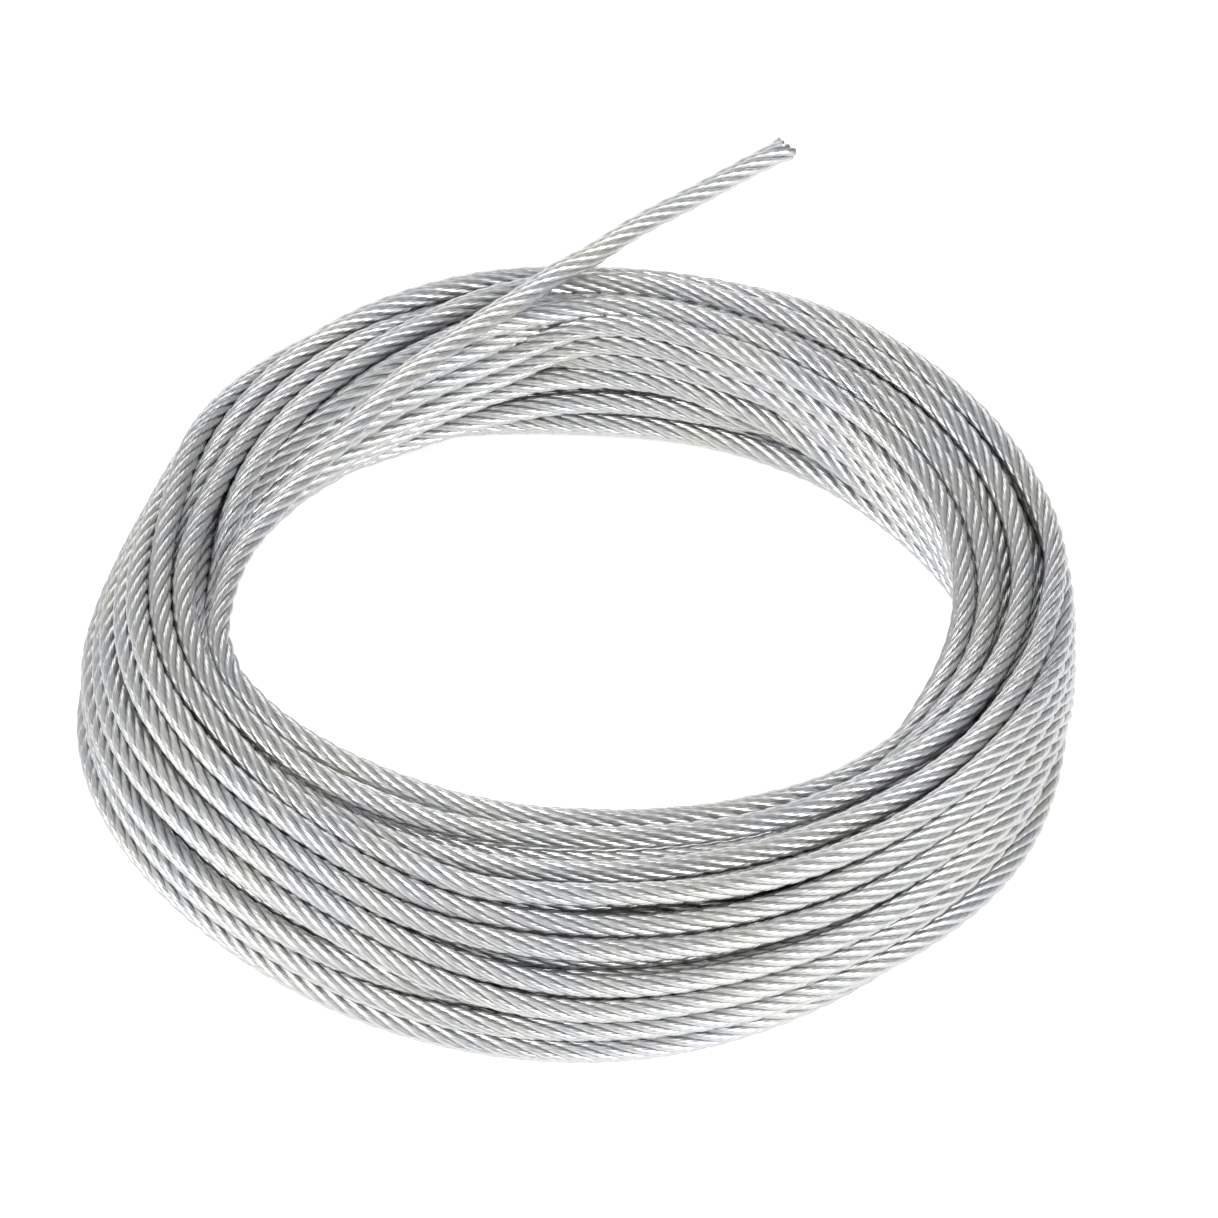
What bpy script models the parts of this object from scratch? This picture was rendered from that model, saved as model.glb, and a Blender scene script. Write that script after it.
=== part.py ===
"""Coil of galvanised steel wire rope, wound by hand, lying flat, with one free end.

The coil is one turned ring whose profile is scalloped by its turns. The free end is
a tube that climbs the bore wall at the back left, crosses the top and springs out
past the back. Metres, +Z up. The origin is the middle of the part's footprint.
"""
import math

import bmesh
import bpy
from mathutils import Vector

# The rope
ROPE_DIAMETER = 0.003

# The wound coil, measured over its outermost turns
COIL_HEIGHT = 0.0202
OUTER_RADIUS_BASE = 0.0624
OUTER_RADIUS_TOP = 0.0585
OUTER_BOW = 0.0010
BORE_RADIUS_BASE = 0.0490
BORE_RADIUS_TOP = 0.0435

# How tightly the turns lie, in rope diameters
TURN_PITCH_SIDEWAYS = 0.98
TURN_PITCH_UPWARDS = 0.93
GROOVE_REACH = 0.42

# Facets of the ring around its axis
RING_STEPS = 48

# The free end's route, chosen by hand. Each point is an angle about the coil's axis in
# degrees, a distance out from the bore's top edge and a height over the coil's top.
FREE_END_ROUTE = (
    (164.4, -0.0019, -0.0011),
    (158.0, -0.0029, -0.0008),
    (148.7, -0.0038, -0.0001),
    (140.4, -0.0044, 0.0008),
    (130.2, -0.0035, 0.0017),
    (121.2, -0.0018, 0.0021),
    (111.9, 0.0007, 0.0021),
    (104.0, 0.0039, 0.0021),
    (98.6, 0.0066, 0.0021),
    (93.0, 0.0107, 0.0022),
    (88.9, 0.0135, 0.0023),
    (83.3, 0.0194, 0.0026),
    (77.5, 0.0261, 0.0030),
    (73.9, 0.0315, 0.0034),
    (70.7, 0.0371, 0.0038),
)
FREE_END_SPACING = 2.2
FREE_END_SIDES = 2

STEEL_COLOUR = (0.60, 0.61, 0.61, 1.0)
STEEL_ROUGHNESS = 0.34
STEEL_METALLIC = 1.0


def clear_scene():
    """Start from an empty scene."""
    for old in list(bpy.data.objects):
        bpy.data.objects.remove(old, do_unlink=True)


def zinc_coated_steel(name):
    """The rope's finish, a Principled material."""
    material = bpy.data.materials.new(name)
    material.use_nodes = True
    shader = material.node_tree.nodes["Principled BSDF"]
    shader.inputs["Base Color"].default_value = STEEL_COLOUR
    shader.inputs["Roughness"].default_value = STEEL_ROUGHNESS
    shader.inputs["Metallic"].default_value = STEEL_METALLIC
    return material


def count_gaps(width, pitch):
    """How many turn spacings of at least the given pitch fit in a width."""
    return max(1, int(width / (pitch * ROPE_DIAMETER)))


def surface_turns():
    """Centres of the turns on the coil's surface, going round its section.

    Each is (radius, height, facings). A facing is the direction, in degrees, in which
    the turn shows: -90 is down, 0 outward, 90 up and 180 towards the bore.
    """
    half = ROPE_DIAMETER / 2
    low = half
    high = COIL_HEIGHT - half
    outer_base = OUTER_RADIUS_BASE - half
    outer_top = OUTER_RADIUS_TOP - half
    inner_base = BORE_RADIUS_BASE + half
    inner_top = BORE_RADIUS_TOP + half
    levels = count_gaps(high - low, TURN_PITCH_UPWARDS)
    across_base = count_gaps(outer_base - inner_base, TURN_PITCH_SIDEWAYS)
    across_top = count_gaps(outer_top - inner_top, TURN_PITCH_SIDEWAYS)
    turns = [(inner_base, low, (180, 270))]
    for step in range(1, across_base):
        share = step / across_base
        turns.append((inner_base + (outer_base - inner_base) * share, low, (270,)))
    turns.append((outer_base, low, (-90, 0)))
    for step in range(1, levels):
        share = step / levels
        bow = OUTER_BOW * math.sin(math.pi * share)
        radius = outer_base + (outer_top - outer_base) * share + bow
        turns.append((radius, low + (high - low) * share, (0,)))
    turns.append((outer_top, high, (0, 90)))
    for step in range(1, across_top):
        share = step / across_top
        turns.append((outer_top + (inner_top - outer_top) * share, high, (90,)))
    turns.append((inner_top, high, (90, 180)))
    for step in range(1, levels):
        share = step / levels
        radius = inner_top + (inner_base - inner_top) * share
        turns.append((radius, high + (low - high) * share, (180,)))
    return turns


def ring_profile():
    """The section's outline: two corners for each way a turn shows, then a groove."""
    half = ROPE_DIAMETER / 2
    corner_reach = half / math.cos(math.radians(30))
    turns = surface_turns()
    outline = []
    for place, (radius, height, facings) in enumerate(turns):
        for facing in facings:
            for lean in (-30, 30):
                angle = math.radians(facing + lean)
                across = radius + corner_reach * math.cos(angle)
                up = height + corner_reach * math.sin(angle)
                outline.append(Vector((across, 0.0, up)))
        following = turns[(place + 1) % len(turns)]
        facing = math.radians(facings[-1])
        across = (radius + following[0]) / 2 + GROOVE_REACH * half * math.cos(facing)
        up = (height + following[1]) / 2 + GROOVE_REACH * half * math.sin(facing)
        outline.append(Vector((across, 0.0, up)))
    return outline


def add_object(name, data, material):
    """Put a mesh or a curve in the scene with its material."""
    piece = bpy.data.objects.new(name, data)
    piece.data.materials.append(material)
    bpy.context.scene.collection.objects.link(piece)
    return piece


def wound_turns(material):
    """The coil, its section spun once about the axis."""
    shape = bmesh.new()
    corners = [shape.verts.new(point) for point in ring_profile()]
    edges = []
    for place, corner in enumerate(corners):
        edges.append(shape.edges.new((corner, corners[(place + 1) % len(corners)])))
    bmesh.ops.spin(
        shape,
        geom=corners + edges,
        cent=(0.0, 0.0, 0.0),
        axis=(0.0, 0.0, 1.0),
        angle=2 * math.pi,
        steps=RING_STEPS,
        use_merge=True,
    )
    bmesh.ops.remove_doubles(shape, verts=shape.verts, dist=0.00001)
    bmesh.ops.recalc_face_normals(shape, faces=shape.faces)
    mesh = bpy.data.meshes.new("wound_turns")
    shape.to_mesh(mesh)
    shape.free()
    mesh.shade_smooth()
    mesh.set_sharp_from_angle(angle=math.radians(40))
    return add_object("wound_turns", mesh, material)


def route_points():
    """The free end's chosen points, from the bore wall to the cut end."""
    points = []
    for degrees, outward, above in FREE_END_ROUTE:
        angle = math.radians(degrees)
        radius = BORE_RADIUS_TOP + outward
        height = COIL_HEIGHT + above
        points.append(Vector((radius * math.cos(angle), radius * math.sin(angle), height)))
    return points


def smooth_route(points, spacing):
    """Points at an even spacing along a smooth curve through the chosen points."""
    before = points[0] * 2 - points[1]
    after = points[-1] * 2 - points[-2]
    posts = [before] + points + [after]
    fine = []
    pieces = 24
    for place in range(1, len(posts) - 2):
        a, b, c, d = posts[place - 1:place + 3]
        for step in range(pieces):
            t = step / pieces
            bend = 2 * a - 5 * b + 4 * c - d
            twist = 3 * b - a - 3 * c + d
            fine.append((2 * b + (c - a) * t + bend * t * t + twist * t * t * t) / 2)
    fine.append(posts[-2])
    lengths = [0.0]
    for first, second in zip(fine, fine[1:]):
        lengths.append(lengths[-1] + (second - first).length)
    count = max(2, round(lengths[-1] / spacing))
    even = [fine[0]]
    place = 0
    for step in range(1, count):
        wanted = lengths[-1] * step / count
        while lengths[place + 1] < wanted:
            place += 1
        share = (wanted - lengths[place]) / (lengths[place + 1] - lengths[place])
        even.append(fine[place].lerp(fine[place + 1], share))
    even.append(fine[-1])
    return even


def free_end(material):
    """The rope's loose end, a round tube along its route."""
    curve = bpy.data.curves.new("free_end", "CURVE")
    curve.dimensions = "3D"
    curve.bevel_depth = ROPE_DIAMETER / 2
    curve.bevel_resolution = FREE_END_SIDES
    curve.use_fill_caps = True
    points = smooth_route(route_points(), FREE_END_SPACING * ROPE_DIAMETER)
    spline = curve.splines.new("POLY")
    spline.points.add(len(points) - 1)
    for target, point in zip(spline.points, points):
        target.co = (point.x, point.y, point.z, 1.0)
    return add_object("free_end", curve, material)


def centre_footprint(pieces):
    """Move the pieces together so that the origin is the middle of their footprint."""
    bpy.context.view_layer.update()
    depsgraph = bpy.context.evaluated_depsgraph_get()
    corners = []
    for piece in pieces:
        ready = piece.evaluated_get(depsgraph)
        mesh = ready.to_mesh()
        corners.extend(piece.matrix_world @ vertex.co for vertex in mesh.vertices)
        ready.to_mesh_clear()
    middle_x = (min(p.x for p in corners) + max(p.x for p in corners)) / 2
    middle_y = (min(p.y for p in corners) + max(p.y for p in corners)) / 2
    for piece in pieces:
        piece.location = (-middle_x, -middle_y, 0.0)


def build():
    """Make the coil and its free end."""
    clear_scene()
    coil = wound_turns(zinc_coated_steel("wound_rope"))
    end = free_end(zinc_coated_steel("free_rope"))
    centre_footprint([coil, end])


build()
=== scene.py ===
# %% [markdown]
# # A coil of wire rope
#
# The object is one length of thin zinc-coated steel wire rope. It was wound by hand into a
# loose round coil that lies flat, and one cut end rises over the turns and springs out past
# the back. This lesson builds it from the inside out: first the line that the middle of the
# rope follows, then the six strands that are laid round that line, then the steel.
#
# The CAD model of the same coil is loaded first. It gives the place of the coil's axis, the
# floor and the size that the finished rope has to keep to.

import math

import bpy
import numpy as np
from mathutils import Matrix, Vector


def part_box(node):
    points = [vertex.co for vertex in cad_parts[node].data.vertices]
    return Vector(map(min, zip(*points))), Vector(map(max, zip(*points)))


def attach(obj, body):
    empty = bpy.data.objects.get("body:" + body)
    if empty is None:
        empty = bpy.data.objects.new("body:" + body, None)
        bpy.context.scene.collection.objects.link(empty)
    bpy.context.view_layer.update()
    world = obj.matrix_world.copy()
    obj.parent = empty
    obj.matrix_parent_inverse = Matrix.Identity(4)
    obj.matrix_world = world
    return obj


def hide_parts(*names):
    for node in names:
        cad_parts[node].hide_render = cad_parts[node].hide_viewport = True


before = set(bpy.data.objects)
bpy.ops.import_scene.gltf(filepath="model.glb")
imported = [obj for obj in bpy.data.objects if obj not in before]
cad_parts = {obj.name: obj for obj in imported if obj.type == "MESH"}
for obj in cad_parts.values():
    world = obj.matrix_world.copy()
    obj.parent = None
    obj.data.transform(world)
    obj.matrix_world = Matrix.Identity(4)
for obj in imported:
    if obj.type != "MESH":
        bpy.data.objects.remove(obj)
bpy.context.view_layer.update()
ring_low, ring_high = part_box("wound_turns")
axis_x = (ring_low[0] + ring_high[0]) / 2
axis_y = (ring_low[1] + ring_high[1]) / 2
print("coil axis at", round(axis_x, 5), round(axis_y, 5), "coil height", round(ring_high[2], 4))

# %% [markdown]
# ## The camera
#
# A camera could be placed by eye, but a coil of turns shows at once when the angle is a few
# degrees out. Here the angle was worked out from the outline of the coil and of its hole. A
# long lens looks down at about 45 degrees from the front. The target is a little off the
# coil's axis, because the free end takes up room at the back.

# %% Camera
PHOTO_SIDE = 1218
ELEVATION = math.radians(44.75)
CAMERA_DISTANCE = 1.4
PIXELS_PER_METRE = 8000.0
AXIS_PIXEL = (582.4, 697.2)
SENSOR = 0.036

focal_pixels = PIXELS_PER_METRE * CAMERA_DISTANCE
foot_of_axis = Vector((axis_x, axis_y, 0.0))
look = Vector((0.0, math.cos(ELEVATION), -math.sin(ELEVATION)))
upward = Vector((0.0, math.sin(ELEVATION), math.cos(ELEVATION)))
off_right = PHOTO_SIDE / 2 - AXIS_PIXEL[0]
off_up = AXIS_PIXEL[1] - PHOTO_SIDE / 2
aim = look * focal_pixels + Vector((off_right, 0.0, 0.0)) + upward * off_up

camera_data = bpy.data.cameras.new("camera")
camera_data.sensor_width = SENSOR * 1000
camera_data.lens = SENSOR * 1000 * focal_pixels / PHOTO_SIDE
camera_data.clip_start = 0.1
camera_data.clip_end = 20.0
camera = bpy.data.objects.new("camera", camera_data)
camera.location = foot_of_axis - look * CAMERA_DISTANCE
camera.rotation_mode = "QUATERNION"
camera.rotation_quaternion = aim.to_track_quat("-Z", "Y")
bpy.context.scene.collection.objects.link(camera)
bpy.context.scene.camera = camera
print("lens", round(camera_data.lens, 1), "mm")

# %% [markdown]
# ## The rope's own sizes
#
# Wire rope of this kind is six strands laid round a core strand. Seven circles of a third of
# the rope's diameter would fill its section, but the machine that closes a rope presses its
# strands into each other. So they are a little thicker here than such circles and lie a little
# nearer to the middle, which makes the grooves between them shallower. The strands are laid
# right-hand, like the thread of a common screw, and go once round the rope in about six
# diameters. All later sizes come from these.

# %% Rope sizes
DIAMETER = 0.003
LENGTH = 10.0
STRANDS = 6
STRAND_RADIUS = 0.176 * DIAMETER
STRAND_CENTRE = DIAMETER / 2 - STRAND_RADIUS
LAY = 6.1 * DIAMETER
print("rope", DIAMETER * 1000, "mm thick,", LENGTH, "m long, lay", round(LAY * 1000, 1), "mm")

# %% [markdown]
# ## The room that the turns lie in
#
# A cut through the coil at any angle shows about thirty round sections of rope in a heap. The
# heap isn't the same all the way round: at the front it leans outward, at the back it leans
# away, and at the left the coil has a waist. So the room is given at nine angles, as the
# nearest and furthest that the middle of a turn may lie from the axis, and it changes smoothly
# between them. The numbers are in millimetres, because they are easier to read so.

# %% Room for the turns
THICK = DIAMETER * 1000
HEIGHT = 20.2
LOW = THICK / 2
HIGH = HEIGHT - THICK / 2
STEPS = 72
WRAPS = 31
STEP_ANGLE = 360 / STEPS
START_ANGLE = 165

# angle: inner low, inner top, outer low, outer middle, outer top
ROOM = {
    0: (51.8, 47.3, 59.1, 59.9, 59.2),
    45: (49.3, 47.0, 59.0, 58.8, 58.6),
    90: (47.4, 50.3, 60.5, 59.8, 57.6),
    135: (49.5, 43.6, 61.0, 60.0, 58.3),
    160: (51.0, 42.2, 61.0, 58.4, 54.4),
    190: (53.5, 44.6, 62.2, 60.0, 54.8),
    225: (53.0, 42.0, 60.9, 59.0, 53.5),
    270: (50.5, 39.6, 62.4, 60.6, 52.6),
    315: (50.5, 43.0, 61.4, 60.5, 56.8),
}

step_angles = (START_ANGLE - STEP_ANGLE * np.arange(STEPS)) % 360


def between_stations(column):
    """One column of ROOM at every step's angle, eased between the stations."""
    angles = sorted(ROOM)
    closed = [angles[-1] - 360] + angles + [angles[0] + 360]
    values = [ROOM[angle % 360][column] for angle in closed]
    found = []
    for angle in step_angles:
        place = max(k for k in range(len(closed) - 1) if closed[k] <= angle)
        share = (angle - closed[place]) / (closed[place + 1] - closed[place])
        ease = share * share * (3 - 2 * share)
        found.append(values[place] + (values[place + 1] - values[place]) * ease)
    return np.array(found)


INNER_LOW, INNER_TOP, OUTER_LOW, OUTER_MIDDLE, OUTER_TOP = [between_stations(c) for c in range(5)]


def room_at(height):
    """The nearest and furthest that a turn may lie from the axis at these heights."""
    up = np.clip((height - LOW) / (HIGH - LOW), 0, 1)
    nearest = INNER_LOW * (1 - up) + INNER_TOP * up
    # the outer wall is a curve through its three values
    furthest = OUTER_LOW * (1 - up) * (1 - 2 * up)
    furthest = furthest + OUTER_MIDDLE * 4 * up * (1 - up) + OUTER_TOP * up * (2 * up - 1)
    return nearest, furthest


# Turns stacked like pipes each take up 0.866 of the square of their spacing. They are spread
# over nearly all the room, but never wider than the widest spacing, in rope diameters.
LEVELS = 21
CLOSE_PACKING = 0.866
ROOM_USED = 0.985
WIDEST_SPACING = 1.2

spans = [room_at(np.full(STEPS, height)) for height in np.linspace(LOW, HIGH, LEVELS)]
area = HEIGHT * sum(far - near + THICK for near, far in spans) / LEVELS
full_spacing = np.sqrt(area / WRAPS / CLOSE_PACKING)
loose_spacing = np.clip(ROOM_USED * full_spacing, THICK, THICK * WIDEST_SPACING)
print("turns may lie", loose_spacing.min().round(2), "to", loose_spacing.max().round(2), "mm apart")

# %% [markdown]
# ## Laying the wraps
#
# The rope could be one neat helix, but then no turn would ever cross another. A hand that
# winds a coil lays each wrap on the outside of the heap, a little further round it than the
# last. The lines below do the same: each point slides in from outside, in a direction that
# turns slowly, until it touches what is there. At the left waist the whole heap twists, so
# that direction gets a quick turn there which the rest of the way round takes back. It also
# sways a little, since no hand is steady. The heap is taller than it is wide, so the direction
# is stretched upward. From one point to the next the rope moves at most 0.9 mm sideways and as
# much up or down, because it is stiff.

# %% Lay the wraps
END_LEAN = 140.0
LEAN_PER_WRAP = 21.0
WAIST_ANGLE = 178.0
WAIST_TWIST = 55.0
WAIST_WIDTH = 24.0
SWAY = 5.0
SWAYS_PER_WRAP = 0.37
SWAY_START = 2.0
UPWARD_STRETCH = 1.15
LARGEST_MOVE = 0.9


def lean(wraps_left, angle):
    """The direction in the section, in degrees, from which a wrap is laid. 90 is from above."""
    from_waist = (angle - WAIST_ANGLE + 180) % 360 - 180
    twist = WAIST_TWIST * (math.tanh(from_waist / WAIST_WIDTH) - from_waist / 180)
    sway = SWAY * math.sin(2 * math.pi * wraps_left * SWAYS_PER_WRAP + SWAY_START)
    return END_LEAN + LEAN_PER_WRAP * wraps_left + twist + sway


def lay_wraps():
    """A first place in the section, (distance from axis, height), for each point of the rope."""
    near, far = room_at(np.full(STEPS, HEIGHT / 2))
    heaps = [[] for _ in range(STEPS)]
    points = np.zeros((WRAPS * STEPS, 2))
    for place in range(len(points)):
        step = place % STEPS
        angle = math.radians(lean((len(points) - place) / STEPS, step_angles[step]))
        way = np.array([math.cos(angle), UPWARD_STRETCH * math.sin(angle)])
        way = way / np.hypot(*way)
        middle = np.array([(near[step] + far[step]) / 2, HEIGHT / 2])
        out = 0.0
        if heaps[step]:
            others = np.array(heaps[step]) - middle
            along = others @ way
            aside = (others ** 2).sum(1) - along * along
            met = aside < THICK * THICK
            if met.any():
                out = max(0.0, (along[met] + np.sqrt(THICK * THICK - aside[met])).max())
        points[place] = middle + way * out
        if place > 0:
            change = np.clip(points[place] - points[place - 1], -LARGEST_MOVE, LARGEST_MOVE)
            points[place] = points[place - 1] + change
        heaps[step].append(points[place].copy())
    return points


laid = lay_wraps()
print("laid", WRAPS, "wraps of", STEPS, "points")

# %% [markdown]
# ## Where the last wrap and the free end go
#
# These two are the most visible stretches of the rope, so their routes are listed. The last
# wrap lies on the inner edge of the coil. The free end leaves it at the back left, climbs
# along the bore, crosses the top and springs out past the back. Its points are the ones that
# the CAD model has: an angle, a distance out from the bore's top edge and a height over the
# coil's top, in metres.

# %% Listed routes
BORE_RADIUS_TOP = 0.0435
COIL_HEIGHT = 0.0202
FREE_END_ROUTE = (
    (164.4, -0.0019, -0.0011),
    (158.0, -0.0029, -0.0008),
    (148.7, -0.0038, -0.0001),
    (140.4, -0.0044, 0.0008),
    (130.2, -0.0035, 0.0017),
    (121.2, -0.0018, 0.0021),
    (111.9, 0.0007, 0.0021),
    (104.0, 0.0039, 0.0021),
    (98.6, 0.0066, 0.0021),
    (93.0, 0.0107, 0.0022),
    (88.9, 0.0135, 0.0023),
    (83.3, 0.0194, 0.0026),
    (77.5, 0.0261, 0.0030),
    (73.9, 0.0315, 0.0034),
    (70.7, 0.0371, 0.0038),
)

# angle, distance from the axis and height, in millimetres, from the free end backwards
LAST_WRAP_ROUTE = (
    (165, 41.9, 19.1),
    (170, 42.7, 19.0),
    (180, 44.2, 18.9),
    (190, 45.6, 18.8),
    (200, 45.6, 18.8),
    (210, 44.2, 18.8),
    (220, 42.6, 18.7),
    (230, 41.3, 18.7),
    (240, 40.5, 18.7),
    (255, 39.9, 18.6),
    (270, 39.7, 18.4),
    (285, 40.3, 17.8),
    (300, 41.6, 16.9),
    (315, 43.6, 15.8),
    (330, 45.6, 15.2),
)

route = np.array(FREE_END_ROUTE)
end_angles = route[:, 0]
end_radii = (BORE_RADIUS_TOP + route[:, 1]) * 1000
end_heights = (COIL_HEIGHT + route[:, 2]) * 1000
last = np.array(LAST_WRAP_ROUTE)
held_angles = np.arange(START_ANGLE + STEP_ANGLE, LAST_WRAP_ROUTE[-1][0] + 1, STEP_ANGLE)
held_points = np.stack([np.interp(held_angles, last[:, 0], last[:, 1 + c]) for c in (0, 1)], 1)
print("free end from", end_angles[0], "to", end_angles[-1], "degrees")

# %% [markdown]
# ## Letting the wraps settle
#
# The laid points are rough, so the next step lets the heap settle. In each round every two
# turns that overlap push each other apart, each point moves a little towards its neighbours
# along the rope because the rope is stiff, and the walls of the room push back. At first the
# turns keep some air between them, which fills the room evenly. At the end they may touch.
#
# At three angles some places are named where a turn is wanted, such as those that show over
# the front. A few of them lie a layer deep, where a turn darkens a gap that would else let the
# floor show through. The turn that lies nearest to each place is drawn to it, if it is within
# reach. Its neighbours along the rope come with it, the near ones more than the far ones.

# %% Let the wraps settle
# how far off its place a turn may lie and still be drawn to it, in millimetres
REACH = 3.0

# TINY keeps a distance from being zero, FAR keeps a turn from meeting itself
TINY = 1e-9
FAR = 1e9

# the angle at which the free end has crossed the coil
LEAVES_COIL = 86

# how hard, and over how many points, a turn is drawn to its place
DRAW = 0.2
DRAW_STEPS = 7
DRAW_FADE = 3.5

# the share of its overshoot that the walls and the top take off in a round
WALL_PUSH = 0.5
TOP_PUSH = 0.6

# the share of the way through at which the air is gone, and how long it takes to go
AIR_GONE = 0.9
AIR_FADE = 0.2

# the share of the way through up to which each stiffness holds
STIFFNESS = ((0.7, 0.35), (0.93, 0.2), (1.0, 0.1))

# angle: distances from the axis and heights, in millimetres
WANTED = {
    270: ((42.7, 18.45), (48.4, 18.2), (51.9, 17.2), (54.6, 15.4), (57.4, 14.0),
          (59.7, 10.2), (61.2, 7.3), (61.5, 4.4), (62.3, 1.6), (44.6, 16.1)),
    0: ((47.3, 18.6), (50.3, 18.6), (52.5, 15.4), (54.5, 18.6), (56.6, 15.4), (58.8, 18.4)),
    90: ((56.4, 18.7), (53.9, 17.6), (51.2, 15.4), (49.6, 12.4), (48.6, 9.4), (47.9, 5.5),
         (47.6, 2.1)),
}


def step_at(angle):
    """The step whose angle is nearest to this one."""
    return int(np.argmin(np.abs((step_angles - angle + 180) % 360 - 180)))


def push_apart(points, spacing):
    """Move overlapping turns of each section apart."""
    gap = points[:, None] - points[None]
    distance = np.hypot(gap[..., 0], gap[..., 1]) + TINY
    distance[np.arange(WRAPS), np.arange(WRAPS)] = FAR
    overlap = np.clip(spacing - distance, 0, None)
    push = gap / distance[..., None] * (overlap / 2)[..., None]
    touching = np.maximum(1, (overlap > 0).sum(1))
    return points + push.sum(1) / np.sqrt(touching)[..., None]


def clear_free_end(points):
    """Move the turns that the free end passes over out of its way."""
    for step in range(STEPS):
        angle = step_angles[step]
        if LEAVES_COIL <= angle <= START_ANGLE:
            radius = np.interp(angle, end_angles[::-1], end_radii[::-1])
            height = np.interp(angle, end_angles[::-1], end_heights[::-1])
            away = points[:, step] - (radius, height)
            distance = np.hypot(away[:, 0], away[:, 1]) + TINY
            overlap = np.clip(THICK - distance, 0, None)
            points[:, step] += away / distance[:, None] * overlap[:, None]
    return points


def follow_neighbours(points, stiffness, wanted):
    """Smooth the rope along its length, draw turns to their places and hold the last wrap."""
    line = points.reshape(-1, 2)
    smooth = line.copy()
    smooth[1:-1] += stiffness * (line[:-2] - 2 * line[1:-1] + line[2:])
    for place, spot in wanted:
        short = (spot - smooth[place]) * DRAW
        for near in range(max(0, place - DRAW_STEPS), min(len(line), place + DRAW_STEPS + 1)):
            smooth[near] += short * math.exp(-((near - place) / DRAW_FADE) ** 2)
    smooth[-1:-1 - len(held_points):-1] = held_points
    return smooth.reshape(WRAPS, STEPS, 2)


def keep_in_room(points):
    """Walls, floor and top push back."""
    near, far = room_at(points[..., 1])
    radius = points[..., 0]
    inward = np.clip(near - radius, 0, None)
    outward = np.clip(radius - far, 0, None)
    radius = radius + WALL_PUSH * inward - WALL_PUSH * outward
    height = np.maximum(points[..., 1], LOW)
    height = height - TOP_PUSH * np.clip(height - HIGH, 0, None)
    line = np.stack([radius, height], -1).reshape(-1, 2)
    line[-1:-1 - len(held_points):-1] = held_points
    return line.reshape(WRAPS, STEPS, 2)


def settle(points, wanted, rounds, first):
    """Run the rounds. The share of the way through goes from first to 1."""
    points = points.reshape(WRAPS, STEPS, 2).copy()
    for number in range(rounds):
        share = first + (1 - first) * number / rounds
        air = min(1.0, max(0.0, (AIR_GONE - share) / AIR_FADE))
        stiffness = next(value for until, value in STIFFNESS if share < until)
        points = push_apart(points, THICK + (loose_spacing - THICK) * air)
        points = clear_free_end(points)
        points = follow_neighbours(points, stiffness, wanted)
        points = keep_in_room(points)
    return points


def nearest_turns(points):
    """For each wanted place, the point of the rope that will be drawn to it."""
    chosen = []
    for angle, spots in WANTED.items():
        step = step_at(angle)
        wraps = WRAPS - 1 if angle >= START_ANGLE else WRAPS
        pairs = []
        for number, spot in enumerate(spots):
            for wrap in range(wraps):
                miss = math.dist(points[wrap, step], spot)
                if miss < REACH:
                    pairs.append((miss, number, wrap))
        numbers, used = set(), set()
        for _, number, wrap in sorted(pairs):
            if number not in numbers and wrap not in used:
                numbers.add(number)
                used.add(wrap)
                chosen.append((wrap * STEPS + step, np.array(spots[number])))
    return chosen


settled = settle(laid, wanted=(), rounds=450, first=0.0)
settled = settle(settled, wanted=nearest_turns(settled), rounds=500, first=0.3)
apart = settled[:, None] - settled[None]
apart = np.hypot(apart[..., 0], apart[..., 1])
apart[np.arange(WRAPS), np.arange(WRAPS)] = FAR
nearest = apart.min(1)
print("closest turns", nearest.min().round(2), "mm, middle", np.median(nearest).round(2), "mm")

# %% [markdown]
# ## The line through the middle of the rope
#
# The settled points and the free end's points are joined into one line. A smooth curve goes
# through them all, so that the bends are as even as those of a springy rope. The rope is sold
# by length, so the hidden end in the heap is cut where the line is ten metres long.

# %% Middle line
PIECES_PER_STEP = 12
FINE_SPACING = 0.001


def to_space(angles, radii, heights):
    """Points in the model's space, in metres, from angles in degrees and millimetres."""
    turn = np.radians(angles)
    x = axis_x + radii / 1000 * np.cos(turn)
    y = axis_y + radii / 1000 * np.sin(turn)
    return np.stack([x, y, heights / 1000], 1)


def smooth_line(points, pieces):
    """A curve through all the points, with this many pieces between two of them."""
    posts = np.vstack([2 * points[0] - points[1], points, 2 * points[-1] - points[-2]])
    a, b, c, d = posts[:-3], posts[1:-2], posts[2:-1], posts[3:]
    fine = []
    for piece in range(pieces):
        t = piece / pieces
        bend = 2 * a - 5 * b + 4 * c - d
        twist = 3 * b - a - 3 * c + d
        fine.append((2 * b + (c - a) * t + bend * t * t + twist * t * t * t) / 2)
    return np.vstack([np.stack(fine, 1).reshape(-1, 3), points[-1:]])


def even_line(points, spacing):
    """The same line with its points at an even spacing."""
    steps = np.linalg.norm(np.diff(points, axis=0), axis=1)
    along = np.concatenate([[0.0], np.cumsum(steps)])
    count = max(2, round(along[-1] / spacing))
    wanted = np.linspace(0, along[-1], count + 1)
    return np.stack([np.interp(wanted, along, points[:, c]) for c in range(3)], 1)


def line_length(points):
    """The length of a line of points."""
    return float(np.linalg.norm(np.diff(points, axis=0), axis=1).sum())


line = settled.reshape(-1, 2)
angles = START_ANGLE - STEP_ANGLE * np.arange(len(line))
wound = to_space(angles, line[:, 0], line[:, 1])
free = to_space(end_angles, end_radii, end_heights)
whole = smooth_line(np.vstack([wound, free]), PIECES_PER_STEP)
whole_length = line_length(whole)
even = even_line(whole, FINE_SPACING)
too_long = max(0, round((whole_length - LENGTH) / FINE_SPACING))
middle_line = even[too_long:]
print("whole line", round(whole_length, 3), "m, cut to", round(line_length(middle_line), 3), "m")

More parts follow.
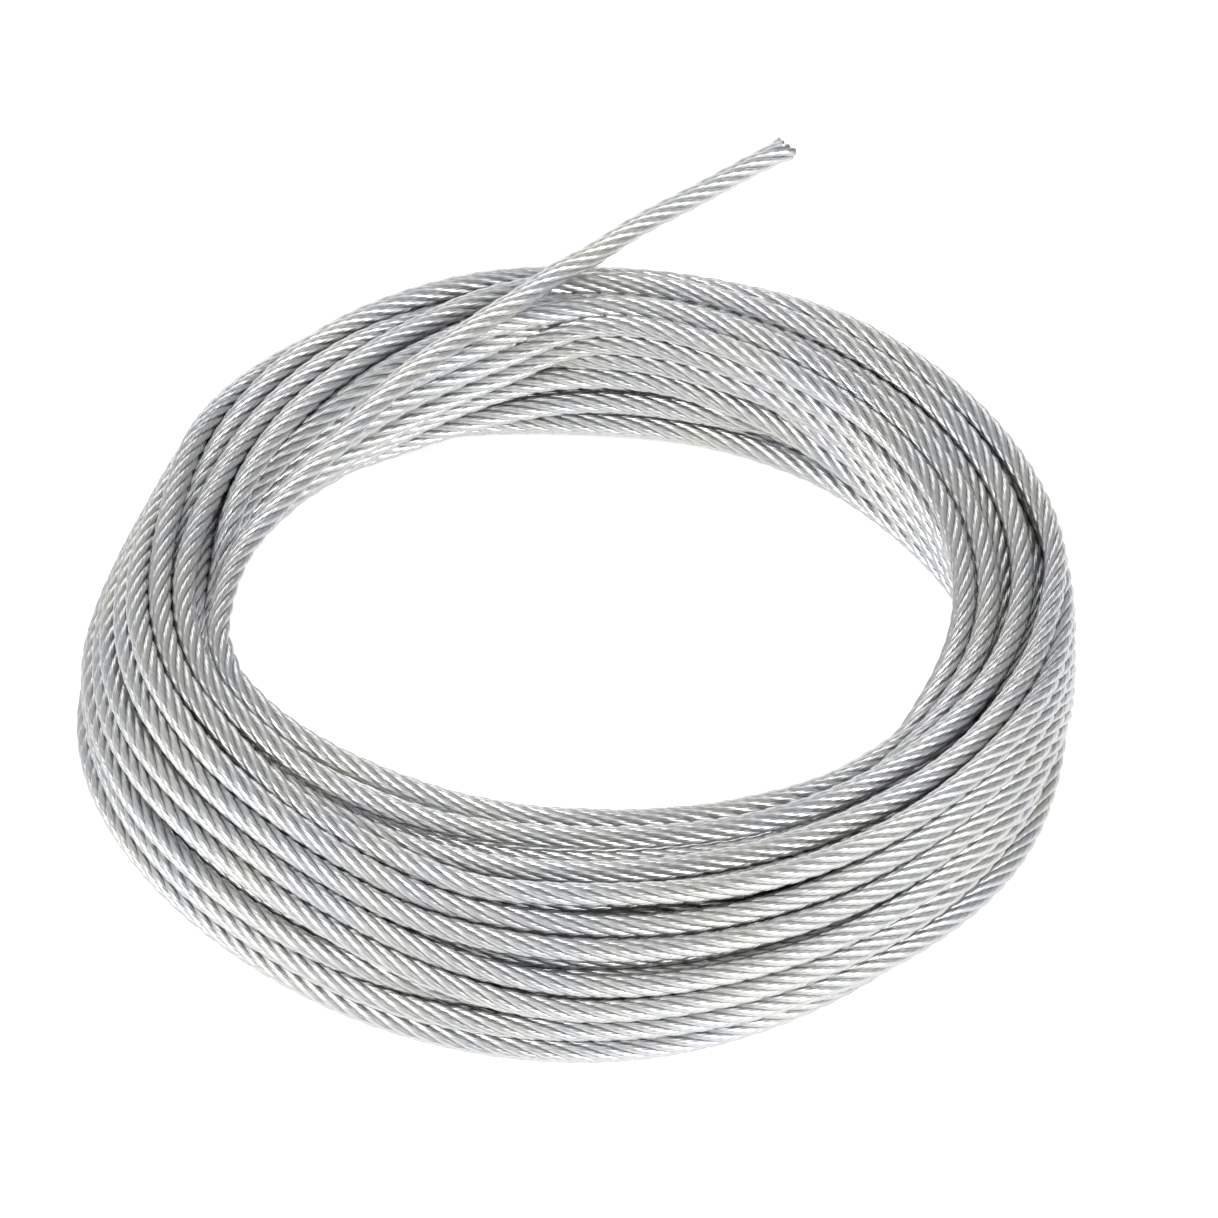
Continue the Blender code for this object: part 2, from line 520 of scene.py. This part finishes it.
# %% [markdown]
# ## The strands
#
# A strand could be a curve with a bevel, but Blender then picks its own twist, and a strand
# has to go round the rope at an even rate. So each strand is a mesh. A frame of two directions
# is carried along the middle line without twisting it. The strand's middle goes round the
# line in that frame, once every lay, and a ring of eight points follows it. Seven of the eight
# are on the side that shows, because the inside of the rope is never seen.
#
# Where the rope was cut, the strands spring apart a little and end unevenly.

# %% Carry a frame along the line
RINGS_PER_LAY = 16
FLARE_LENGTH = 0.0045
FLARE = 0.30


def carried_frame(points):
    """Two directions across the line at each point, which turn with the line only."""
    along = np.gradient(points, axis=0)
    along = along / np.linalg.norm(along, axis=1)[:, None]
    across = np.zeros_like(points)
    first = np.cross(along[0], (0.0, 0.0, 1.0))
    across[0] = first / np.linalg.norm(first)
    for place in range(1, len(points)):
        kept = across[place - 1] - along[place] * (across[place - 1] @ along[place])
        across[place] = kept / math.sqrt(kept @ kept)
    return across, np.cross(along, across)


rope_line = even_line(middle_line, LAY / RINGS_PER_LAY)
rope_across, rope_up = carried_frame(rope_line)
travelled = np.linspace(0, line_length(rope_line), len(rope_line))
print(len(rope_line), "rings along the rope")

# %% Strand meshes
RING_ANGLES = np.radians([-108, -72, -36, 0, 36, 72, 108, 180])
STAGGER = 0.0003

# The UVs round a strand start at the first of its points. This is what its crest gets.
CREST_SHARE = 0.3


def tube_mesh(name, rings, lengthwise, around):
    """A closed tube through rings of points, with UVs along it and round it."""
    count, sides = rings.shape[:2]
    mesh = bpy.data.meshes.new(name)
    corner = np.arange(sides)
    following = (corner + 1) % sides
    start = np.arange(count - 1)[:, None] * sides
    quads = np.stack([start + corner, start + following,
                      start + sides + following, start + sides + corner], -1).reshape(-1)
    caps = np.concatenate([corner[::-1], (count - 1) * sides + corner])
    mesh.vertices.add(count * sides)
    mesh.vertices.foreach_set("co", rings.reshape(-1).astype(np.float32))
    mesh.loops.add(len(quads) + 2 * sides)
    mesh.loops.foreach_set("vertex_index", np.concatenate([quads, caps]).astype(np.int32))
    faces = (count - 1) * sides
    starts = np.concatenate([np.arange(faces) * 4, faces * 4 + np.array([0, sides])])
    mesh.polygons.add(faces + 2)
    mesh.polygons.foreach_set("loop_start", starts.astype(np.int32))
    mesh.update(calc_edges=True)
    mesh.shade_smooth()
    round_end = np.where(following == 0, 1.0, around[following])
    u = np.broadcast_to(lengthwise[:-1, None, None], (count - 1, sides, 1))
    u_next = np.broadcast_to(lengthwise[1:, None, None], (count - 1, sides, 1))
    v = np.broadcast_to(around[:, None], (count - 1, sides, 1))
    v_next = np.broadcast_to(round_end[:, None], (count - 1, sides, 1))
    quad_uv = np.concatenate([u, v, u, v_next, u_next, v_next, u_next, v], -1).reshape(-1)
    cap_uv = np.full(4 * sides, 0.5)
    layer = mesh.uv_layers.new(name="wires")
    layer.uv.foreach_set("vector", np.concatenate([quad_uv, cap_uv]).astype(np.float32))
    mesh.validate()
    return mesh


def strand_rings(number, stagger):
    """The rings of one strand. Stagger is how much of its end is missing."""
    turn = 2 * math.pi * (travelled / LAY + number / STRANDS)
    outward = rope_across * np.cos(turn)[:, None] + rope_up * np.sin(turn)[:, None]
    from_end = travelled[-1] - travelled
    spread = 1 + FLARE * np.clip(1 - from_end / FLARE_LENGTH, 0, 1) ** 2
    middle = rope_line + outward * (STRAND_CENTRE * spread)[:, None]
    along = np.gradient(middle, axis=0)
    along = along / np.linalg.norm(along, axis=1)[:, None]
    out = outward - along * (outward * along).sum(1)[:, None]
    out = out / np.linalg.norm(out, axis=1)[:, None]
    side = np.cross(along, out)
    circle = out[:, None] * np.cos(RING_ANGLES)[:, None]
    circle = circle + side[:, None] * np.sin(RING_ANGLES)[:, None]
    rings = middle[:, None] + circle * STRAND_RADIUS
    rings[-1] -= along[-1] * stagger
    return rings


around_strand = np.degrees(RING_ANGLES) / 360 + CREST_SHARE
strands = []
for number in range(STRANDS):
    rings = strand_rings(number, stagger=STAGGER * ((number * 5) % 4))
    mesh = tube_mesh(f"strand_{number + 1}", rings, travelled / LAY, around_strand)
    strand = bpy.data.objects.new(f"strand_{number + 1}", mesh)
    bpy.context.scene.collection.objects.link(strand)
    strands.append(strand)
print("strand faces", len(strands[0].data.polygons))

# %% [markdown]
# ## The core
#
# The core strand runs straight down the middle. Only its cut end can be seen, so its rings are
# far apart along the rope.

# %% Core strand
CORE_SPACING = 0.006
CORE_SIDES = 6

core_line = even_line(middle_line, CORE_SPACING)
core_across, core_up = carried_frame(core_line)
core_angles = np.radians(np.arange(CORE_SIDES) * 360 / CORE_SIDES)
core_circle = core_across[:, None] * np.cos(core_angles)[:, None]
core_circle = core_circle + core_up[:, None] * np.sin(core_angles)[:, None]
core_rings = core_line[:, None] + core_circle * STRAND_RADIUS
core_travelled = np.linspace(0, line_length(core_line), len(core_line)) / LAY
core_around = np.arange(CORE_SIDES) / CORE_SIDES
core_mesh = tube_mesh("core_strand", core_rings, core_travelled, core_around)
core = bpy.data.objects.new("core_strand", core_mesh)
bpy.context.scene.collection.objects.link(core)
print("core faces", len(core_mesh.polygons))

# %% [markdown]
# ## The rope's one body
#
# The strands together are one cord: its path is the middle line, its far end is a bare cut,
# and it is stiff steel that lies coiled. They take the place of both CAD solids, the turned
# ring and the plain tube, which are hidden, and they move with the one body that the object has.

for piece in strands + [core]:
    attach(piece, "root")
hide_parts("wound_turns", "free_end")
print("declared", len(strands) + 1, "pieces")

# %% [markdown]
# ## A small language for finishes
#
# A finish is a graph of nodes. Clicking nodes together is fine for one or two, but a sum of
# five values is easier to read as a line of Python. The class Value wraps one number that
# varies over the surface, and its operators add Math nodes. The class Finish makes every
# other node with one method.

# %% Finish and Value
class Value:
    """A number that varies over a surface. Sums with it add Math nodes."""

    def __init__(self, finish, socket):
        self.finish = finish
        self.socket = socket

    def math(self, operation, first, second):
        node = self.finish.node("ShaderNodeMath", {"operation": operation}, {0: first, 1: second})
        return Value(self.finish, node.outputs[0])

    def __add__(self, other):
        return self.math("ADD", self, other)

    def __radd__(self, other):
        return self.math("ADD", other, self)

    def __sub__(self, other):
        return self.math("SUBTRACT", self, other)

    def __rsub__(self, other):
        return self.math("SUBTRACT", other, self)

    def __mul__(self, other):
        return self.math("MULTIPLY", self, other)

    def __rmul__(self, other):
        return self.math("MULTIPLY", other, self)

    def __pow__(self, other):
        return self.math("POWER", self, other)


class Finish:
    """A material and one way to add nodes to it."""

    def __init__(self, name):
        self.material = bpy.data.materials.new(name)
        self.material.use_nodes = True
        self.tree = self.material.node_tree
        self.surface = self.tree.nodes["Principled BSDF"]

    def node(self, kind, settings=None, sockets=None):
        node = self.tree.nodes.new(kind)
        for name, value in (settings or {}).items():
            if name == "stops":
                self.set_stops(node.color_ramp, value)
            else:
                setattr(node, name, value)
        for name, value in (sockets or {}).items():
            self.feed(node.inputs[name], value)
        return node

    def set_stops(self, ramp, stops):
        while len(ramp.elements) < len(stops):
            ramp.elements.new(0.5)
        for element, (position, colour) in zip(ramp.elements, stops):
            element.position = position
            element.color = colour

    def feed(self, target, value):
        if isinstance(value, Value):
            self.tree.links.new(value.socket, target)
        elif isinstance(value, bpy.types.NodeSocket):
            self.tree.links.new(value, target)
        else:
            target.default_value = value

    def value(self, node, output=0):
        return Value(self, node.outputs[output])


print("finish helper ready")

# %% [markdown]
# ## Zinc-coated steel
#
# The rope is drawn steel wire with a thin bright zinc coat. It is metal, so it shows mostly
# what it mirrors: white crests where a strand faces the lamps and grey flanks. Each strand is
# itself made of wires, too fine to model over ten metres, so a bump draws their grooves. The
# wires turn about their strand the other way from the strands about the rope, three times in
# every lay. On the outside of the rope they then run straight along it, which is how such rope
# can be told at a glance. The zinc is not quite even: it is faintly warm in one place and
# faintly cold in the next. The grooves between the wires are rougher, and painted shade
# makes them a darker grey.

# %% Steel finish
WIRES = 6
WIRE_TURNS_BACK = 3.0
WIRE_DEPTH = 0.00006
WIRE_STRENGTH = 0.55
PATCH_SCALE = 90.0
SPECK_SCALE = 1400.0
# painted shade: the grey that the grooves between the wires are darkened towards, and how strongly;
# the same amount also makes the grooves rougher
GROOVE_SHADE_GREY = (0.36, 0.36, 0.36, 1.0)
GROOVE_SHADE_AND_DULLNESS = 0.35
ROUGHNESS = 0.29
SPECK_ROUGHNESS = 0.12
GROOVE_ROUGHNESS = 0.3

steel = Finish("zinc_coated_steel")
uv = steel.node("ShaderNodeUVMap", {"uv_map": "wires"})
parts = steel.node("ShaderNodeSeparateXYZ", sockets={0: uv.outputs[0]})
lengthwise = steel.value(parts, 0)
around = steel.value(parts, 1)
phase = (around + lengthwise * WIRE_TURNS_BACK) * WIRES
wave = steel.value(steel.node("ShaderNodeMath", {"operation": "SINE"}, {0: phase * math.pi}))
crest = steel.value(steel.node("ShaderNodeMath", {"operation": "ABSOLUTE"}, {0: wave}))
wire_bump = steel.node(
    "ShaderNodeBump",
    sockets={"Strength": WIRE_STRENGTH, "Distance": WIRE_DEPTH, "Height": crest.socket},
)

place = steel.node("ShaderNodeTexCoord")
patches = steel.node(
    "ShaderNodeTexNoise",
    sockets={"Vector": place.outputs["Object"], "Scale": PATCH_SCALE, "Detail": 3.0},
)
specks = steel.node(
    "ShaderNodeTexNoise",
    sockets={"Vector": place.outputs["Object"], "Scale": SPECK_SCALE, "Detail": 2.0},
)
tint = steel.node(
    "ShaderNodeValToRGB",
    {"stops": [
        (0.30, (0.625, 0.635, 0.66, 1.0)),
        (0.50, (0.66, 0.665, 0.665, 1.0)),
        (0.70, (0.69, 0.685, 0.65, 1.0)),
    ]},
    {0: patches.outputs[0]},
)
# painted shade: the grooves between the wires are mixed towards a darker grey, and the same mask
# makes them rougher
groove = (1 - crest) ** 2 * GROOVE_SHADE_AND_DULLNESS
groove_shaded = steel.node(
    "ShaderNodeMix",
    {"data_type": "RGBA"},
    {"Factor": groove.socket, 6: tint.outputs[0], 7: GROOVE_SHADE_GREY},
)
roughness = ROUGHNESS + steel.value(specks) * SPECK_ROUGHNESS + groove * GROOVE_ROUGHNESS
steel.feed(steel.surface.inputs["Base Color"], groove_shaded.outputs[2])
steel.feed(steel.surface.inputs["Roughness"], roughness)
steel.feed(steel.surface.inputs["Normal"], wire_bump.outputs[0])
steel.surface.inputs["Metallic"].default_value = 1.0
for piece in strands + [core]:
    piece.data.materials.append(steel.material)
print("steel nodes", len(steel.tree.nodes))

# %% [markdown]
# ## Floor
#
# The coil was photographed on white, so bright that no shadow is left and the floor burns out
# to pure white. A floor that is only painted white would need lamps that burn out the steel
# too. So the paper glows a little by itself, as a lit table does.

# %% Floor
HALF_FLOOR = 3.0
PAPER_GLOW = 0.4

floor_mesh = bpy.data.meshes.new("floor")
floor_mesh.from_pydata(
    [
        (-HALF_FLOOR, -HALF_FLOOR, 0.0),
        (HALF_FLOOR, -HALF_FLOOR, 0.0),
        (HALF_FLOOR, HALF_FLOOR, 0.0),
        (-HALF_FLOOR, HALF_FLOOR, 0.0),
    ],
    [],
    [(0, 1, 2, 3)],
)
floor = bpy.data.objects.new("floor", floor_mesh)
bpy.context.scene.collection.objects.link(floor)
paper = Finish("white_paper")
paper.surface.inputs["Base Color"].default_value = (0.9, 0.9, 0.9, 1.0)
paper.surface.inputs["Roughness"].default_value = 0.8
paper.surface.inputs["Specular IOR Level"].default_value = 0.2
paper.surface.inputs["Emission Color"].default_value = (1.0, 1.0, 1.0, 1.0)
paper.surface.inputs["Emission Strength"].default_value = PAPER_GLOW
floor_mesh.materials.append(paper.material)
print("floor", 2 * HALF_FLOOR, "m wide")

# %% [markdown]
# ## Light
#
# Bare metal shows its surroundings more than itself, so the lamps are placed by what each
# stretch of rope mirrors. The stretches at the left and right mirror the sky over the back,
# and they are an even grey, so the sky is a plain mid grey with one weak lamp behind the coil.
# The strands over the front have white stripes, and those at the front's two corners are the
# brightest of all. These are the pictures of two large soft lamps that stand at the left and
# the right, a little towards the front. A faint one above them lifts the crests.
#
# The picture is shown with the plain transform, in which white paper is pure white.

# %% Lamps and sky
SKY_STRENGTH = 0.43


def lamp(name, at, size, power):
    """A wide soft lamp that points at the coil."""
    light = bpy.data.lights.new(name, "AREA")
    light.shape = "RECTANGLE"
    light.size = size[0]
    light.size_y = size[1]
    light.energy = power
    thing = bpy.data.objects.new(name, light)
    thing.location = at
    thing.rotation_mode = "QUATERNION"
    thing.rotation_quaternion = (foot_of_axis - Vector(at)).to_track_quat("-Z", "Y")
    bpy.context.scene.collection.objects.link(thing)


lamp("lamp_left", at=(-1.4, -0.7, 1.05), size=(1.1, 1.0), power=20.0)
lamp("lamp_right", at=(1.25, -0.9, 1.1), size=(1.1, 1.0), power=22.0)
lamp("lamp_above", at=(0.0, -0.8, 1.7), size=(1.2, 0.8), power=2.5)
lamp("lamp_behind", at=(-0.5, 1.55, 0.95), size=(1.2, 1.2), power=8.0)
sky = bpy.data.worlds.new("sky")
sky.use_nodes = True
sky.node_tree.nodes["Background"].inputs[0].default_value = (1.0, 1.0, 1.0, 1.0)
sky.node_tree.nodes["Background"].inputs[1].default_value = SKY_STRENGTH
bpy.context.scene.world = sky
bpy.context.scene.view_settings.view_transform = "Standard"
print("lamps set")
